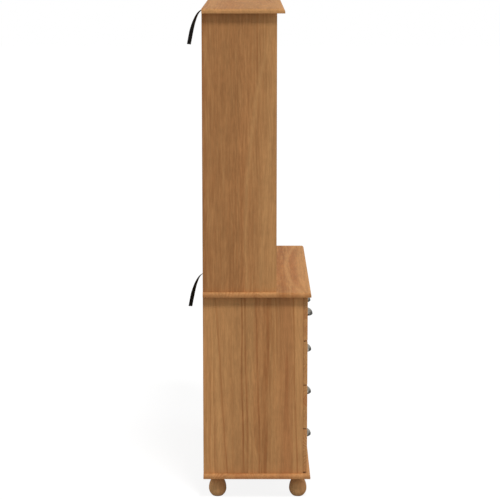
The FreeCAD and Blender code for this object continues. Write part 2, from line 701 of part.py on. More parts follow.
def strap_screw(name, board_underside):
    """The screw that holds a strap up against the underside of a board."""
    seat = f"{board_underside} - 2 * {STRAP_SEAT}"
    spot = ("0", f"{BACK} - strap_screw_inset")
    screw = doc.addObject("Part::Fuse", name)
    screw.Base = rod(f"{name}_shank", "strap_screw_diameter",
                     f"strap_screw_reach + 2 * {STRAP_SEAT}", *spot, seat)
    screw.Tool = rod(f"{name}_head", "screw_head_diameter", "screw_head_height", *spot,
                     f"{seat} - screw_head_height")
    return screw


def build_straps():
    """The two wall straps and the screws that hold them."""
    boards = {"upper": HUTCH_TOP, "lower": CARCASS_TOP}
    for name, underside in boards.items():
        strap(f"{name}_wall_strap", underside)
    screws = [strap_screw(f"{name}_strap_screw", underside) for name, underside in boards.items()]
    keep(group("strap_screw_set", screws), "strap_screws")


def export():
    """Check every object of the document, then write each piece to its own file."""
    doc.recompute()
    for item in doc.Objects:
        if {"Invalid", "Error"} & set(item.State):
            raise RuntimeError(f"{item.Label} did not build: {item.State}")
    for piece in pieces:
        if piece.Shape.isNull() or not piece.Shape.isValid():
            raise RuntimeError(f"{piece.Label} has no valid shape")
    os.makedirs("parts", exist_ok=True)
    for piece in pieces:
        piece.Shape.exportStep(os.path.join("parts", f"{piece.Label}.step"))


build_drawers()
build_chest()
build_hutch()
build_straps()
export()
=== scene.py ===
"""Pine hutch: waxed boards, turned feet, cup pulls and wall straps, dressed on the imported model.

Lengths are in metres. The hutch is wide along X, its drawers slide towards -Y, and Z is up.
"""

import json
import math

import bmesh
import bpy
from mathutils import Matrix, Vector

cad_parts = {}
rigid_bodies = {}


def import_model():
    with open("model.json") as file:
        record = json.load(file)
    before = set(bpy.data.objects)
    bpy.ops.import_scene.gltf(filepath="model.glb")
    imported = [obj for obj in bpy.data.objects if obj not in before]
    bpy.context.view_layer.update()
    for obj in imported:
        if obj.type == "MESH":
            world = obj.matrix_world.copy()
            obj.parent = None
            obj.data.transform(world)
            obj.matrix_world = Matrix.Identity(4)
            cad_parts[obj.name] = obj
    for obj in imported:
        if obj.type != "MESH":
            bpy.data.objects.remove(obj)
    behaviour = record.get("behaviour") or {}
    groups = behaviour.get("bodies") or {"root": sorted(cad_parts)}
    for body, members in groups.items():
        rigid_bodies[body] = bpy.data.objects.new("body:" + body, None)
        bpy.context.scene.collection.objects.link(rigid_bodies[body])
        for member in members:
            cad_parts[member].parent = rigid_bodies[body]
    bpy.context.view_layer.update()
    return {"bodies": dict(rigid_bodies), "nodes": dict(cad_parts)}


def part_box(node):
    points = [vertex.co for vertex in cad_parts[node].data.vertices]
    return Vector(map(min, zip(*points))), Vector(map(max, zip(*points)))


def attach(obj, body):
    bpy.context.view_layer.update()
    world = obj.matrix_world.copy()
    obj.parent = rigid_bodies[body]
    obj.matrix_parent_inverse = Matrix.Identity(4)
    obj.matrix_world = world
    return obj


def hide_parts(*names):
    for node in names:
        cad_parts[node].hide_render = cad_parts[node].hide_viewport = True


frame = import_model()
nodes = frame["nodes"]
scene = bpy.context.scene
DRAWERS = [body for body in frame["bodies"] if body.endswith("drawer")]
X, Y, Z = 0, 1, 2

# Camera off the left end of the hutch, fitted to the photograph
CAMERA_PLACE = Vector((-7.4766, 0.0226, 2.2269))
CAMERA_TILT = math.radians(9.898)
CAMERA_PAN = math.radians(0.084)
CAMERA_LENS = 128.65

# Light: a broad sun from above the left end, a pale sky, and a lamp each for the front and the back
SUN_FROM = Vector((-0.43, -0.16, 0.89))
SUN_DISTANCE = 6.0
SUN_STRENGTH = 1.85
SUN_BREADTH = math.radians(11)
SKY_STRENGTH = 0.40
SKY_SEEN = 1.0
LAMP_AIM = Vector((0.0, 0.0, 0.9))
LAMP_SIZE = 3.0
LAMPS = {
    "front_lamp": {"place": Vector((-0.8, -6.0, 2.4)), "power": 110},
    "back_lamp": {"place": Vector((2.0, 6.0, 3.6)), "power": 70},
}

# Floor: a grey that light bounces off, and a glowing white for the camera
FLOOR_SIZE = 60.0
FLOOR_BOUNCE = 0.42
FLOOR_SEEN = 0.16
FLOOR_GLOW = 0.88


def srgb(red, green, blue):
    """A colour given as screen values from 0 to 255, as the renderer's own linear values."""
    def linear(part):
        part /= 255
        return part / 12.92 if part <= 0.04045 else ((part + 0.055) / 1.055) ** 2.4
    return (linear(red), linear(green), linear(blue), 1.0)


def grey(level):
    """A grey given as the renderer's own linear value."""
    return (level, level, level, 1.0)


# Kinds of tree and socket, and the sockets of a Mix node that mixes colours
SHADERS, SHAPES = "ShaderNodeTree", "GeometryNodeTree"
FLOAT, INTEGER, VECTOR = "NodeSocketFloat", "NodeSocketInt", "NodeSocketVector"
GEOMETRY, MATERIAL = "NodeSocketGeometry", "NodeSocketMaterial"
MIX_SHARE, MIX_FIRST, MIX_SECOND, MIX_RESULT = 0, 6, 7, 2

# The range that noises, lots and shares run through, and its middle
WHOLE = (0.0, 1.0)
MIDDLE = 0.5


def floats(*labels):
    """Number sockets with these names."""
    return dict.fromkeys(labels, FLOAT)


class Value:
    """A socket to reckon with: what is worked out from it becomes nodes in the same tree."""

    def __init__(self, wires, socket):
        self.wires = wires
        self.socket = socket

    def reckon(self, operation, *others):
        """The result of a Math node that takes this value first."""
        return self.wires.value("ShaderNodeMath", dict(enumerate((self, *others))), operation=operation)

    def __add__(self, other):
        return self.reckon("ADD", other)

    def __sub__(self, other):
        return self.reckon("SUBTRACT", other)

    def __mul__(self, other):
        return self.reckon("MULTIPLY", other)

    def __truediv__(self, other):
        return self.reckon("DIVIDE", other)

    def clamped(self):
        """The value kept between 0 and 1."""
        return self.wires.value("ShaderNodeClamp", {"Value": self})

    def ramp(self, reach, shares=WHOLE):
        """A smooth ramp from one share to the other over a reach of the value."""
        limits = dict(zip(("From Min", "From Max", "To Min", "To Max"), (*reach, *shares)))
        return self.wires.value("ShaderNodeMapRange", {"Value": self, **limits},
                                interpolation_type="SMOOTHSTEP")

    def stretched(self, factors):
        """A vector with each part multiplied by its own factor."""
        return self.wires.value("ShaderNodeVectorMath", {0: self, 1: factors}, operation="MULTIPLY")

    def dot(self, other):
        """How far a direction agrees with another."""
        return self.wires.value("ShaderNodeVectorMath", {0: self, 1: other}, "Value", operation="DOT_PRODUCT")

    def parts(self):
        """The X, Y and Z of a vector."""
        return list(self.wires.values("ShaderNodeSeparateXYZ", {0: self}).values())

    def channels(self):
        """The red, green and blue of a colour."""
        return list(self.wires.values("ShaderNodeSeparateColor", {0: self}).values())


class Wiring:
    """Adds nodes to a tree."""

    def __init__(self, tree):
        self.tree = tree

    def feed(self, node, inputs):
        """Link the inputs that are given as values, and set those given as numbers, colours and the like."""
        for name, given in inputs.items():
            if isinstance(given, Value):
                self.tree.links.new(given.socket, node.inputs[name])
            else:
                node.inputs[name].default_value = given

    def node(self, kind, inputs=None, **settings):
        """A new node with its settings and inputs."""
        made = self.tree.nodes.new(kind)
        for name, setting in settings.items():
            setattr(made, name, setting)
        self.feed(made, inputs or {})
        return made

    def value(self, kind, inputs=None, output=0, **settings):
        """One output of a new node."""
        return Value(self, self.node(kind, inputs, **settings).outputs[output])

    def values(self, kind, inputs=None, **settings):
        """All outputs of a new node by their names."""
        return {socket.name: Value(self, socket) for socket in self.node(kind, inputs, **settings).outputs}

    def group(self, tree, inputs):
        """The outputs of a shader group that is placed in this tree."""
        return self.values("ShaderNodeGroup", inputs, node_tree=tree)

    def vector(self, x=0.0, y=0.0, z=0.0):
        """A vector of three numbers."""
        return self.value("ShaderNodeCombineXYZ", {"X": x, "Y": y, "Z": z})

    def facing(self):
        """The way that the surface faces."""
        return self.value("ShaderNodeNewGeometry", output="Normal")

    def noise(self, place, detail=2.0, roughness=0.5):
        """Smooth noise from 0 to 1."""
        look = {"Vector": place, "Scale": 1.0, "Detail": detail, "Roughness": roughness}
        return self.value("ShaderNodeTexNoise", look, "Fac")

    def wobble(self, place, detail=2.0):
        """Smooth noise about nought."""
        return self.noise(place, detail) - MIDDLE

    def chance(self, x, y):
        """A value and a colour drawn by lot for each pair of numbers."""
        return self.values("ShaderNodeTexWhiteNoise", {"Vector": self.vector(x, y)}, noise_dimensions="3D")

    def mix(self, share, first, second, blend="MIX"):
        """The first colour with a share of the second."""
        colours = {MIX_SHARE: share, MIX_FIRST: first, MIX_SECOND: second}
        return self.value("ShaderNodeMix", colours, MIX_RESULT, data_type="RGBA", blend_type=blend)

    def bump(self, height, look, base=None):
        """The normal of an uneven surface, worked out from a base normal where one is given."""
        inputs = {"Height": height, **look}
        if base:
            inputs["Normal"] = base
        return self.value("ShaderNodeBump", inputs)


class Group(Wiring):
    """A new node group: given holds its inputs, and its results are fed to its sink."""

    def __init__(self, name, kind, inputs, outputs):
        super().__init__(bpy.data.node_groups.new(name, kind))
        for way, sockets in (("INPUT", inputs), ("OUTPUT", outputs)):
            for label, socket_kind in sockets.items():
                self.tree.interface.new_socket(label, in_out=way, socket_type=socket_kind)
        self.given = self.values("NodeGroupInput")
        self.sink = self.node("NodeGroupOutput")


# Pine as it is sawn from logs: how its grain bows, how the pith lies in each stave, and how its rings wobble.
# Waves are counts in a metre across, along and through a board, and the shift sets the staves apart
BOW_WAVES_ACROSS, BOW_WAVES_ALONG, BOW_REACH = 2.5, 0.9, 0.06
STAVE_SHIFT = 3.7
SWAY_WAVES, SWAY_REACH = 1.1, 0.06
DRIFT_WAVES, DRIFT_START, DRIFT_REACH = 0.8, 31.0, 0.09
PITH_SPREAD = 1.3
PITH_DEPTH, PITH_DEPTH_SPREAD = 0.012, 0.06
PITH_DETAIL = 1.0
RING_WOBBLES = (
    {"waves": (70, 5, 70), "detail": 2.0, "reach": 0.0016},
    {"waves": (16, 1.5, 16), "detail": 3.0, "reach": 0.008},
)

# Late wood over a year's growth, and how its share changes by the year and over a board
LATE_RISE, LATE_FALL = (0.05, 0.9), (1.0, 0.92)
YEAR_SHARES = (0.25, 1.0)
LATE_WAVES, LATE_RANGE, LATE_SHARES = (9, 0.9, 9), (0.35, 0.7), (0.15, 1.0)

# Heartwood near the pith, with a ragged edge
HEART_RADII = (0.055, 0.015)
HEART_WAVES, HEART_RAGGED = (30, 1.6, 30), 0.9

# Knots, and how many rings bend round them
KNOT_WAVES, KNOT_SCATTER = (5.5, 3.6, 0.0), 0.9
KNOT_EDGE = (0.045, 0.028)
KNOT_BEND_RANGE, KNOT_BEND = (0.16, 0.02), 1.6

# Fine figure: noises, the range of each that counts, and the shades at its ends
FINE_FIGURE = {
    "grain": {"waves": (1100, 40, 1100), "detail": 2.0, "roughness": 0.5,
              "range": (0.3, 0.6), "shades": (0.95, 1.03)},
    "fibre": {"waves": (260, 30, 260), "detail": 4.0, "roughness": 0.65,
              "range": (0.3, 0.7), "shades": (0.94, 1.06)},
    "fleck": {"waves": (140, 15, 140), "detail": 3.0, "roughness": 0.6,
              "range": (0.3, 0.7), "shades": (0.93, 1.07)},
    "patch": {"waves": (26, 2.2, 26), "detail": 3.0, "roughness": 0.6,
              "range": (0.3, 0.7), "shades": (0.95, 1.06)},
}
TONE_DARKEST, TONE_SPREAD = 0.93, 0.14
LATE_ROUGH, FIBRE_ROUGH = -0.06, 0.08
LATE_HEIGHT, GRAIN_HEIGHT, FIBRE_HEIGHT = 0.7, 0.5, 0.5


def sawn_stave(group):
    """Where a spot of a board lay in the log that its stave comes from.

    Gives the spot with its grain bowed, its distance from the pith, and the stave's own shift and tone.
    """
    given = group.given
    across, along, through = given["Across"], given["Along"], given["Through"]
    width, seed = given["Stave Width"], given["Seed"]
    place = across / width
    stave = place.reckon("FLOOR")
    # The years' lots are drawn by the exact shift, so one node works it out
    shift = stave.reckon("MULTIPLY_ADD", STAVE_SHIFT, seed)
    luck_aside, luck_deep, tone = group.chance(stave, seed)["Color"].channels()

    bow = group.wobble(group.vector(along * BOW_WAVES_ALONG, across * BOW_WAVES_ACROSS + seed)) * BOW_REACH
    spot = group.vector(across + bow, along, through)
    inside = (place - stave - MIDDLE) * width + bow

    sway = group.wobble(group.vector(along * SWAY_WAVES, shift), PITH_DETAIL)
    drift = group.wobble(group.vector(along * DRIFT_WAVES + DRIFT_START, shift), PITH_DETAIL)
    pith_across = (luck_aside - MIDDLE) * (width * PITH_SPREAD) + sway * SWAY_REACH
    pith_depth = luck_deep * PITH_DEPTH_SPREAD + (drift * DRIFT_REACH + PITH_DEPTH)
    aside = inside - pith_across
    deep = through + pith_depth
    radius = (aside * aside + deep * deep).reckon("SQRT")
    for look in RING_WOBBLES:
        radius = group.wobble(spot.stretched(look["waves"]), look["detail"]) * look["reach"] + radius
    return spot, radius, shift, tone


def build_pine_figure():
    """Solid pine: staves side by side, each sawn from its own log, with rings, fibres and knots.

    Late Wood, Heart and Knot are shares of those colours. Shade darkens or lightens the colour, Rough adds
    to the roughness, and Height is for a bump.
    """
    group = Group("pine_figure", SHADERS,
                  floats("Across", "Along", "Through", "Stave Width", "Ring Gap", "Seed", "Knots"),
                  floats("Late Wood", "Heart", "Knot", "Shade", "Rough", "Height"))
    spot, radius, shift, tone = sawn_stave(group)

    cell_look = {"Vector": spot.stretched(KNOT_WAVES), "Scale": 1.0, "Randomness": KNOT_SCATTER}
    cells = group.values("ShaderNodeTexVoronoi", cell_look, voronoi_dimensions="2D")
    cell_luck = cells["Color"].channels()[0]
    knotty = cell_luck.reckon("LESS_THAN", group.given["Knots"])
    bend = knotty * cells["Distance"].ramp(KNOT_BEND_RANGE)

    years = bend * KNOT_BEND + radius / group.given["Ring Gap"]
    year = years.reckon("FLOOR")
    season = years - year
    late = season.ramp(LATE_RISE) * season.ramp(LATE_FALL)
    late = late * group.chance(year, shift)["Value"].ramp(WHOLE, YEAR_SHARES)
    late = late * group.noise(spot.stretched(LATE_WAVES)).ramp(LATE_RANGE, LATE_SHARES)
    heart = group.wobble(spot.stretched(HEART_WAVES)) * HEART_RAGGED + radius.ramp(HEART_RADII)

    shade = tone * TONE_SPREAD + TONE_DARKEST
    noises = {}
    for name, look in FINE_FIGURE.items():
        noises[name] = group.noise(spot.stretched(look["waves"]), look["detail"], look["roughness"])
        shade = shade * noises[name].ramp(look["range"], look["shades"])
    fine_height = noises["grain"] * GRAIN_HEIGHT + noises["fibre"] * FIBRE_HEIGHT
    group.feed(group.sink, {
        "Late Wood": late,
        "Heart": heart.clamped(),
        "Knot": knotty * cells["Distance"].ramp(KNOT_EDGE),
        "Shade": shade,
        "Rough": late * LATE_ROUGH + noises["fibre"] * FIBRE_ROUGH,
        "Height": late * LATE_HEIGHT + fine_height,
    })
    return group.tree


# Streaks wander a little, each in its own way by its place across the board, and their edges are ragged
SWEEP_LENGTH = 0.5
WANDER_WAVES, WANDER_REACH, WANDER_APART = 1.7, 0.03, 90.0
RAGGED_WAVES_ACROSS, RAGGED_WAVES_ALONG, RAGGED_DETAIL, RAGGED_REACH = 110.0, 6.0, 3.0, 1.2
STREAK_EDGE = (1.25, 0.45)


def build_streak():
    """A streak of another colour along the grain, at one place across a board.

    Sweep is how far it runs aside at the sweep length from the board's middle, and Lean how far it slants in
    a metre.
    """
    group = Group("streak", SHADERS, floats("Across", "Along", "Place", "Width", "Sweep", "Lean"),
                  floats("Share"))
    given = group.given
    across, along = given["Across"], given["Along"]
    far = along / SWEEP_LENGTH
    place = given["Lean"] * along + (given["Sweep"] * (far * far) + given["Place"])
    wander = group.wobble(group.vector(along * WANDER_WAVES, given["Place"] * WANDER_APART)) * WANDER_REACH
    rags = group.vector(along * RAGGED_WAVES_ALONG, across * RAGGED_WAVES_ACROSS)
    aside = (across - place - wander).reckon("ABSOLUTE")
    reach = group.noise(rags, RAGGED_DETAIL) * RAGGED_REACH + aside / given["Width"]
    group.feed(group.sink, {"Share": reach.ramp(STREAK_EDGE)})
    return group.tree


# How squarely a surface faces along the grain before it counts as a sawn end
SAWN_RANGE = (0.3, 0.8)


def build_end_grain():
    """Where a board is sawn across its grain, which runs along Axis."""
    group = Group("end_grain", SHADERS, {"Axis": VECTOR}, floats("Sawn"))
    facing = group.facing().dot(group.given["Axis"])
    group.feed(group.sink, {"Sawn": facing.reckon("ABSOLUTE").ramp(SAWN_RANGE)})
    return group.tree


# How far the eased surface turns from the true one before it counts as rubbed
RUBBED_RANGE = (0.995, 0.85)
EASED_SAMPLES = 6


def build_edge_wear():
    """Where the corners of a piece are rubbed, and its normal with those corners eased."""
    group = Group("edge_wear", SHADERS, floats("Radius"), {"Wear": FLOAT, "Normal": VECTOR})
    eased = group.value("ShaderNodeBevel", {"Radius": group.given["Radius"]}, samples=EASED_SAMPLES)
    group.feed(group.sink, {"Wear": eased.dot(group.facing()).ramp(RUBBED_RANGE), "Normal": eased})
    return group.tree


MARKS_DETAIL, MARKS_ROUGHNESS = 4.0, 0.55


def build_hand_marks():
    """Cloudy unevenness of a rubbed or handled finish."""
    group = Group("hand_marks", SHADERS, {"Vector": VECTOR, "Scale": FLOAT}, floats("Clouds"))
    scaling = {0: group.given["Vector"], "Scale": group.given["Scale"]}
    scaled = group.value("ShaderNodeVectorMath", scaling, operation="SCALE")
    group.feed(group.sink, {"Clouds": group.noise(scaled, MARKS_DETAIL, MARKS_ROUGHNESS)})
    return group.tree


PINE_FIGURE = build_pine_figure()
STREAK = build_streak()
END_GRAIN = build_end_grain()
EDGE_WEAR = build_edge_wear()
HAND_MARKS = build_hand_marks()


def surface(name):
    """A new material, its wiring and its shader."""
    material = bpy.data.materials.new(name)
    material.use_nodes = True
    return material, Wiring(material.node_tree), material.node_tree.nodes["Principled BSDF"]


# Finishes of the wood: colours of early wood, late wood and heartwood, and roughness before it varies
FINISHES = {
    "waxed_pine": {"early": srgb(199, 148, 96), "late": srgb(163, 106, 63), "heart": srgb(176, 114, 71),
                   "rough": 0.40},
    # Turned pine for the feet: the wood's own colours, made lighter than the waxed pine as painted light that
    # lifts the feet out of the shade under the base board
    "turned_pine": {"early": srgb(208, 160, 108), "late": srgb(166, 114, 70), "heart": srgb(184, 128, 82),
                    "rough": 0.34},
    "bare_pine": {"early": srgb(214, 178, 132), "late": srgb(184, 138, 90), "heart": srgb(204, 160, 114),
                  "rough": 0.54},
    "plywood": {"early": srgb(204, 168, 124), "late": srgb(180, 138, 94), "heart": srgb(194, 152, 108),
                "rough": 0.52},
    "beech": {"early": srgb(206, 168, 128), "late": srgb(186, 142, 100), "heart": srgb(196, 152, 112),
              "rough": 0.52},
}
KNOT_COLOUR = srgb(96, 56, 30)
WOOD_GLOSS = 0.04
WOOD_EASE, WOOD_RUBBED = 0.0012, 0.25
WOOD_MARKS, WOOD_MARKS_RANGE, WOOD_MARKS_SHADES, WOOD_MARKS_ROUGH = 6.0, (0.3, 0.7), (0.97, 1.03), 0.12
WOOD_BUMP = {"Strength": 0.35, "Distance": 0.0003}

# Ways to saw a board: the axes across it, along its grain and through it
UPRIGHT_END = (Y, Z, X)
UPRIGHT_BACK = (X, Z, Y)
LYING = (Y, X, Z)
FACING = (Z, X, Y)
RUNNING = (Z, Y, X)

# Figure of a board: stave width, gap of the rings, share of places with knots, shares of heartwood and of
# late wood that show, and tints of its sawn ends and its streaks. A tint is a share of late wood, or of early
# wood where it is below nought. Every piece also has a seed
PLAIN_FIGURE = {"stave": 0.085, "ring": 0.010, "knots": 0.06, "heart": 0.5, "lines": 0.75, "ends": 0.0,
                "streaks": ()}


def streak(place, width, tint, sweep=0.0, lean=0.0):
    """A streak at a place across a board, from its middle."""
    return tint, {"Place": place, "Width": width, "Sweep": sweep, "Lean": lean}


# Boards that the photograph shows, with their main streaks
BOARD_FIGURE = {
    "hutch_left_side": {
        "stave": 0.320, "ring": 0.010, "seed": 2.0, "knots": 0.0, "heart": 0.15, "lines": 0.45,
        "streaks": (
            streak(place=0.030, width=0.500, tint=0.55),
            streak(place=0.142, width=0.030, tint=0.6),
            streak(place=-0.125, width=0.090, tint=-0.45, lean=-0.03),
            streak(place=-0.040, width=0.022, tint=-0.8, sweep=-0.040, lean=-0.099),
            streak(place=-0.118, width=0.020, tint=-0.8, lean=-0.064),
        ),
    },
    "base_left_side": {
        "stave": 0.080, "ring": 0.012, "seed": 5.0, "knots": 0.0,
        "streaks": (
            streak(place=0.0, width=0.80, tint=0.2),
            streak(place=-0.052, width=0.040, tint=0.8, lean=-0.02),
            streak(place=0.042, width=0.009, tint=0.9, lean=0.02),
            streak(place=0.028, width=0.008, tint=0.8, lean=0.02),
            streak(place=0.130, width=0.010, tint=0.9, lean=0.06),
            streak(place=-0.016, width=0.009, tint=0.8, lean=0.02),
            streak(place=-0.168, width=0.010, tint=0.7, lean=0.02),
            streak(place=0.150, width=0.060, tint=-0.6, lean=0.04),
            streak(place=0.010, width=0.030, tint=-0.5, lean=-0.02),
        ),
    },
    "worktop": {
        "stave": 0.140, "ring": 0.012, "seed": 8.0, "knots": 0.0, "ends": 0.4,
        "streaks": (
            streak(place=-0.096, width=0.080, tint=0.75, sweep=-0.012),
            streak(place=-0.150, width=0.040, tint=0.40, sweep=-0.040),
            streak(place=-0.127, width=0.018, tint=-0.95, sweep=-0.040),
            streak(place=-0.176, width=0.014, tint=-0.9, sweep=-0.018),
        ),
    },
    "hutch_top": {
        # Painted highlight: the negative ends tint paints the top's sawn ends pale, as where light falls on
        # the rounded edge
        "stave": 0.200, "ring": 0.012, "seed": 4.0, "knots": 0.0, "ends": -0.6,
        "streaks": (
            # Painted shade: this broad streak darkens the whole top against the light that falls on it
            streak(place=0.0, width=0.60, tint=0.4),
            streak(place=0.060, width=0.100, tint=0.4),
            streak(place=-0.150, width=0.060, tint=-0.8),
        ),
    },
    "base_board": {
        "stave": 0.090, "ring": 0.010, "seed": 6.0, "knots": 0.0, "ends": 0.3,
        "streaks": (streak(place=0.0, width=0.80, tint=0.4),),
    },
}

# Seeds of the other pieces, each a step from the last, and of the hutch's back boards
SEED_STEP = 7.3
BACK_BOARDS_SEED = 3.1


def pine(name, finish, grain, centre, own_figure):
    """Pine for one piece, with its grain along one axis and its figure counted from its centre."""
    material, wires, shader = surface(name)
    look = FINISHES[finish]
    figure = {**PLAIN_FIGURE, **own_figure}
    place = wires.value("ShaderNodeTexCoord", output="Object")
    centring = {"Vector": place, "Location": tuple(-part for part in centre)}
    axes = wires.value("ShaderNodeMapping", centring).parts()
    across, along, through = (axes[axis] for axis in grain)
    wood = wires.group(PINE_FIGURE, {
        "Across": across, "Along": along, "Through": through, "Stave Width": figure["stave"],
        "Ring Gap": figure["ring"], "Seed": figure["seed"], "Knots": figure["knots"]})
    wear = wires.group(EDGE_WEAR, {"Radius": WOOD_EASE})
    marks = wires.group(HAND_MARKS, {"Vector": place, "Scale": WOOD_MARKS})["Clouds"]

    colour = wires.mix(wood["Late Wood"] * figure["lines"], look["early"], look["late"])
    colour = wires.mix(wood["Heart"] * figure["heart"], colour, look["heart"])
    tinted = []
    for tint, run in figure["streaks"]:
        tinted.append((wires.group(STREAK, {"Across": across, "Along": along, **run})["Share"], tint))
    if figure["ends"]:
        axis = tuple(float(axis == grain[1]) for axis in (X, Y, Z))
        tinted.append((wires.group(END_GRAIN, {"Axis": axis})["Sawn"], figure["ends"]))
    for mask, tint in tinted:
        colour = wires.mix(mask * abs(tint), colour, look["late"] if tint > 0 else look["early"])
    shade = wood["Shade"] * marks.ramp(WOOD_MARKS_RANGE, WOOD_MARKS_SHADES)
    colour = wires.mix(1.0, colour, shade, "MULTIPLY")
    colour = wires.mix(wood["Knot"], colour, KNOT_COLOUR)
    colour = wires.mix(wear["Wear"] * WOOD_RUBBED, colour, look["early"])
    wires.feed(shader, {
        "Base Color": colour,
        "Roughness": marks * WOOD_MARKS_ROUGH + (wood["Rough"] + look["rough"]),
        "Specular IOR Level": WOOD_GLOSS,
        "Normal": wires.bump(wood["Height"], WOOD_BUMP, wear["Normal"]),
    })
    return material


# Metals: bare colours, the dark colours of tarnish and of painted shade, roughness, and how far painted shade
# darkens what doesn't face up
METALS = {
    "antique_pewter": {"bare": srgb(228, 222, 208), "dark_tarnish_and_shade": srgb(84, 84, 79),
                       "rough": 0.22, "painted_shade_below": 0.9},
    "zinc_steel": {"bare": srgb(190, 192, 194), "dark_tarnish_and_shade": srgb(140, 142, 144),
                   "rough": 0.30, "painted_shade_below": 0.0},
}
METAL_EASE, METAL_RUBBED, METAL_RUBBED_GAIN = 0.0006, 0.6, 1.5
METAL_MARKS, METAL_GRIT = 55.0, 900.0
# Painted shade on metal: none where a surface faces up, full where it faces sideways or down
PAINTED_SHADE_FACING = (0.85, 0.25)
TARNISH_RANGE, TARNISH_SHARE = (0.35, 0.7), 0.4
TARNISH_AND_SHADE_ROUGH, GRIT_ROUGH = 0.16, 0.1
METAL_BUMP = {"Strength": 0.15, "Distance": 0.0001}


def metal(name):
    """Metal with cloudy tarnish, painted shade where it doesn't face up, and bright rubbed edges."""
    material, wires, shader = surface(name)
    look = METALS[name]
    place = wires.value("ShaderNodeTexCoord", output="Object")
    marks = wires.group(HAND_MARKS, {"Vector": place, "Scale": METAL_MARKS})["Clouds"]
    grit = wires.group(HAND_MARKS, {"Vector": place, "Scale": METAL_GRIT})["Clouds"]
    wear = wires.group(EDGE_WEAR, {"Radius": METAL_EASE})
    # Painted shade: darker where the surface faces sideways or down, as if the light came only from above
    painted_shade_below = wires.facing().parts()[Z].ramp(PAINTED_SHADE_FACING) * look["painted_shade_below"]
    tarnish_and_shade = (marks.ramp(TARNISH_RANGE) * TARNISH_SHARE + painted_shade_below).clamped()
    bright = tuple(min(part * METAL_RUBBED_GAIN, 1.0) for part in look["bare"])
    colour = wires.mix(tarnish_and_shade, look["bare"], look["dark_tarnish_and_shade"])
    wires.feed(shader, {
        "Base Color": wires.mix(wear["Wear"] * METAL_RUBBED, colour, bright),
        "Metallic": 1.0,
        "Roughness": tarnish_and_shade * TARNISH_AND_SHADE_ROUGH + (grit * GRIT_ROUGH + look["rough"]),
        "Normal": wires.bump(grit, METAL_BUMP, wear["Normal"]),
    })
    return material


# Webbing: the pitch of its ribs along the strap and of its picks across it, and its fuzz
RIB_PITCH, PICK_PITCH = 0.0016, 0.0011
WEAVE_DEPTH = 0.35
FUZZ_MARKS, FUZZ_RANGE, FUZZ_ROUGH = 1500.0, (0.2, 0.8), (0.55, 0.8)
WEBBING_DARK, WEBBING_PALE = srgb(5, 7, 8), srgb(22, 27, 29)
WEBBING_SHEEN, WEBBING_GLOSS = 0.12, 0.2
WEBBING_BUMP = {"Strength": 0.6, "Distance": 0.0003}
WEBBING_MAP = "weave"


def webbing():
    """Black woven webbing, on the strap's own map in metres along and across it."""
    material, wires, shader = surface("webbing")
    place = wires.value("ShaderNodeUVMap", uv_map=WEBBING_MAP)
    along, across, _ = place.parts()
    rib = (along * (2 * math.pi / RIB_PITCH)).reckon("SINE")
    pick = (across * (2 * math.pi / PICK_PITCH)).reckon("SINE")
    fuzz = wires.group(HAND_MARKS, {"Vector": place, "Scale": FUZZ_MARKS})["Clouds"]
    weave = (rib * pick * WEAVE_DEPTH + fuzz).clamped()
    wires.feed(shader, {
        "Base Color": wires.mix(weave, WEBBING_DARK, WEBBING_PALE),
        "Roughness": fuzz.ramp(FUZZ_RANGE, FUZZ_ROUGH),
        "Sheen Weight": WEBBING_SHEEN,
        "Specular IOR Level": WEBBING_GLOSS,
        "Normal": wires.bump(weave, WEBBING_BUMP),
    })
    return material


def new_piece(name, mesh, material, body):
    """An object at the origin for a finished mesh, riding on a body and taking a slot's finish."""
    piece = bpy.data.objects.new(name, mesh)
    scene.collection.objects.link(piece)
    mesh.materials.clear()
    mesh.materials.append(material)
    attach(piece, body)
    return piece


def evaluated_mesh(thing):
    """A plain mesh of an object as its curve or its modifier makes it."""
    bpy.context.view_layer.update()
    return bpy.data.meshes.new_from_object(thing.evaluated_get(bpy.context.evaluated_depsgraph_get()))


# Straps: the route goes by the distance behind the board's back edge, and the height from the flat end under
# the board
STRAP_ROUTE = (
    (-0.025, 0), (0.002, 0), (0.027, -0.014), (0.043, -0.045),
    (0.0545, -0.081), (0.062, -0.116), (0.068, -0.149),
)
ROUTE_ORDER, ROUTE_STEPS = 3, 10
STRAP_WIDTH = 0.019
STRAP_THICKNESS = 0.0015
STRAP_SEAT_GAP = 0.0003
STRAP_EDGE_ROUND, STRAP_EDGE_STEPS = 0.0006, 4
STRAP_TURN = math.radians(58)
STRAP_TURN_START, STRAP_TURN_END = 0.10, 0.72


def spline_points(route):
    """Points along the smooth line whose control points are the route's."""
    data = bpy.data.curves.new("route", "CURVE")
    data.dimensions = "3D"
    data.resolution_u = ROUTE_STEPS
    spline = data.splines.new("NURBS")
    spline.points.add(len(route) - 1)
    for point, place in zip(spline.points, route):
        point.co = (*place, 1.0)
    spline.order_u = ROUTE_ORDER
    spline.use_endpoint_u = True
    line = bpy.data.objects.new("route", data)
    scene.collection.objects.link(line)
    mesh = evaluated_mesh(line)
    points = [vertex.co.copy() for vertex in mesh.vertices]
    bpy.data.objects.remove(line)
    bpy.data.curves.remove(data)
    bpy.data.meshes.remove(mesh)
    return points


def ribbon_section():
    """Places across the width and the thickness of webbing with round edges, once round."""
    flat = STRAP_WIDTH / 2 - STRAP_EDGE_ROUND
    half = STRAP_THICKNESS / 2
    section = []
    for side in (1, -1):
        for step in range(STRAP_EDGE_STEPS + 1):
            turn = math.pi / 2 - math.pi * step / STRAP_EDGE_STEPS
            section.append((side * (flat + STRAP_EDGE_ROUND * math.cos(turn)), side * half * math.sin(turn)))
    return section


def ribbon_sides(heading, share):
    """The ways across the width and the thickness of a strap, turned as it is at a share of its length."""
    turned = (share - STRAP_TURN_START) / (STRAP_TURN_END - STRAP_TURN_START)
    turn = STRAP_TURN * min(max(turned, 0.0), 1.0)
    across = Vector((1, 0, 0))
    upward = heading.cross(across)
    wide = across * math.cos(turn) + upward * math.sin(turn)
    thin = upward * math.cos(turn) - across * math.sin(turn)
    return wide, thin


